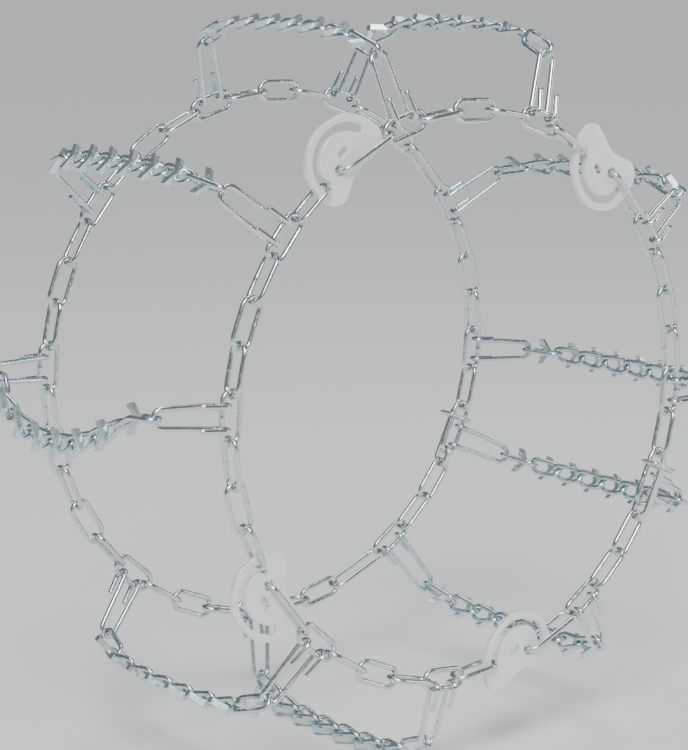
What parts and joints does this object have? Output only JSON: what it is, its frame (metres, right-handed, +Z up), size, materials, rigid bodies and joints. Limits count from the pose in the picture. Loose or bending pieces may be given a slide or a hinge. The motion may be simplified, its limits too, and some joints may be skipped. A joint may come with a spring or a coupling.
{
  "type": "tire snow chain",
  "caption": "Snow chain for one off-road tire in its fitted shape: two side chains, hooked cross chains with V-shaped ice bars, kidney-shaped tightening cams and lever fasteners.",
  "frame": {"origin": "centre of the wheel that the chain is fitted on, midway between the two side chains' planes", "axes": "+Y along the axle, away from the outer side, which carries the cams and faces -Y; +Z up; +X to the right as seen from the outer side"},
  "size_m": [0.652, 0.2994, 0.6403],
  "materials": {
    "zinc_side_chain": "satin zinc plate",
    "zinc_hook": "bright zinc plate",
    "zinc_v_bar_chain": "bluish bright zinc plate",
    "zinc_cam": "pale zinc plate, satin",
    "zinc_fastener": "satin zinc plate"
  },
  "bodies": {
    "fitted_chain": {"anchor_link_lower_left": "zinc_side_chain", "anchor_link_lower_right": "zinc_side_chain", "anchor_link_upper_left": "zinc_side_chain", "anchor_link_upper_right": "zinc_side_chain", "inner_fastener_lever": "zinc_fastener", "inner_fastener_shank": "zinc_side_chain", "inner_side_chain_01": "zinc_side_chain", "inner_side_chain_02": "zinc_side_chain", "inner_side_chain_03": "zinc_side_chain", "inner_side_chain_04": "zinc_side_chain", "inner_side_chain_05": "zinc_side_chain", "inner_side_chain_07": "zinc_side_chain", "inner_side_chain_08": "zinc_side_chain", "inner_side_chain_09": "zinc_side_chain", "inner_side_chain_10": "zinc_side_chain", "outer_fastener_lever": "zinc_fastener", "outer_fastener_shank": "zinc_side_chain", "outer_hook_01": "zinc_hook", "outer_hook_02": "zinc_hook", "outer_hook_03": "zinc_hook", "outer_hook_04": "zinc_hook", "outer_hook_05": "zinc_hook", "outer_hook_06": "zinc_hook", "outer_hook_07": "zinc_hook", "outer_hook_08": "zinc_hook", "outer_hook_09": "zinc_hook", "outer_hook_10": "zinc_hook", "outer_side_chain_01": "zinc_side_chain", "outer_side_chain_02": "zinc_side_chain", "outer_side_chain_03": "zinc_side_chain", "outer_side_chain_04": "zinc_side_chain", "outer_side_chain_05": "zinc_side_chain", "outer_side_chain_07": "zinc_side_chain", "outer_side_chain_08": "zinc_side_chain", "outer_side_chain_09": "zinc_side_chain", "outer_side_chain_10": "zinc_side_chain", "v_bar_chain_01": "zinc_v_bar_chain", "v_bar_chain_02": "zinc_v_bar_chain", "v_bar_chain_03": "zinc_v_bar_chain", "v_bar_chain_04": "zinc_v_bar_chain", "v_bar_chain_05": "zinc_v_bar_chain", "v_bar_chain_06": "zinc_v_bar_chain", "v_bar_chain_07": "zinc_v_bar_chain", "v_bar_chain_08": "zinc_v_bar_chain", "v_bar_chain_09": "zinc_v_bar_chain", "v_bar_chain_10": "zinc_v_bar_chain"},
    "cam_upper_left": {"cam_upper_left": "zinc_cam"},
    "slot_link_upper_left": {"slot_link_upper_left": "zinc_side_chain"},
    "cam_upper_right": {"cam_upper_right": "zinc_cam"},
    "slot_link_upper_right": {"slot_link_upper_right": "zinc_side_chain"},
    "cam_lower_right": {"cam_lower_right": "zinc_cam"},
    "slot_link_lower_right": {"slot_link_lower_right": "zinc_side_chain"},
    "cam_lower_left": {"cam_lower_left": "zinc_cam"},
    "slot_link_lower_left": {"slot_link_lower_left": "zinc_side_chain"},
    "outer_keeper": {"outer_fastener_keeper": "zinc_fastener"},
    "inner_keeper": {"inner_fastener_keeper": "zinc_fastener"}
  },
  "joints": [
    {"name": "cam_upper_left_turn", "type": "hinge", "parent": "fitted_chain", "child": "cam_upper_left", "pos_m": [-0.13341, -0.135, 0.19883], "axis": [0, -1, 0], "range_deg": [0, 168]},
    {"name": "slot_link_upper_left_slide", "type": "slide", "parent": "fitted_chain", "child": "slot_link_upper_left", "axis": [-0.6057, 0, -0.7957], "range_m": [0, 0.02184]},
    {"name": "cam_upper_right_turn", "type": "hinge", "parent": "fitted_chain", "child": "cam_upper_right", "pos_m": [0.15992, -0.135, 0.17821], "axis": [0, -1, 0], "range_deg": [-28, 0]},
    {"name": "slot_link_upper_right_slide", "type": "slide", "parent": "fitted_chain", "child": "slot_link_upper_right", "axis": [-0.8899, 0, 0.4562], "range_m": [-0.00372, 0]},
    {"name": "cam_lower_right_turn", "type": "hinge", "parent": "fitted_chain", "child": "cam_lower_right", "pos_m": [0.07032, -0.135, -0.22889], "axis": [0, 1, 0], "range_deg": [-28, 0]},
    {"name": "slot_link_lower_right_slide", "type": "slide", "parent": "fitted_chain", "child": "slot_link_lower_right", "axis": [-0.9992, 0, -0.0404], "range_m": [-0.00372, 0]},
    {"name": "cam_lower_left_turn", "type": "hinge", "parent": "fitted_chain", "child": "cam_lower_left", "pos_m": [-0.20456, -0.135, -0.12445], "axis": [0, 1, 0], "range_deg": [0, 168]},
    {"name": "slot_link_lower_left_slide", "type": "slide", "parent": "fitted_chain", "child": "slot_link_lower_left", "axis": [-0.2156, 0, 0.9765], "range_m": [0, 0.02184]},
    {"name": "outer_keeper_slide", "type": "slide", "parent": "fitted_chain", "child": "outer_keeper", "axis": [-0.4338, 0, -0.901], "range_m": [-0.003, 0.003]},
    {"name": "inner_keeper_slide", "type": "slide", "parent": "fitted_chain", "child": "inner_keeper", "axis": [-0.4338, 0, -0.901], "range_m": [-0.003, 0.003]}
  ],
  "couplings": [
    {"joint": "slot_link_upper_left_slide", "follows": "cam_upper_left_turn", "m_per_rad": 0.007415},
    {"joint": "slot_link_upper_right_slide", "follows": "cam_upper_right_turn", "m_per_rad": 0.007415},
    {"joint": "slot_link_lower_right_slide", "follows": "cam_lower_right_turn", "m_per_rad": 0.007415},
    {"joint": "slot_link_lower_left_slide", "follows": "cam_lower_left_turn", "m_per_rad": 0.007415}
  ]
}
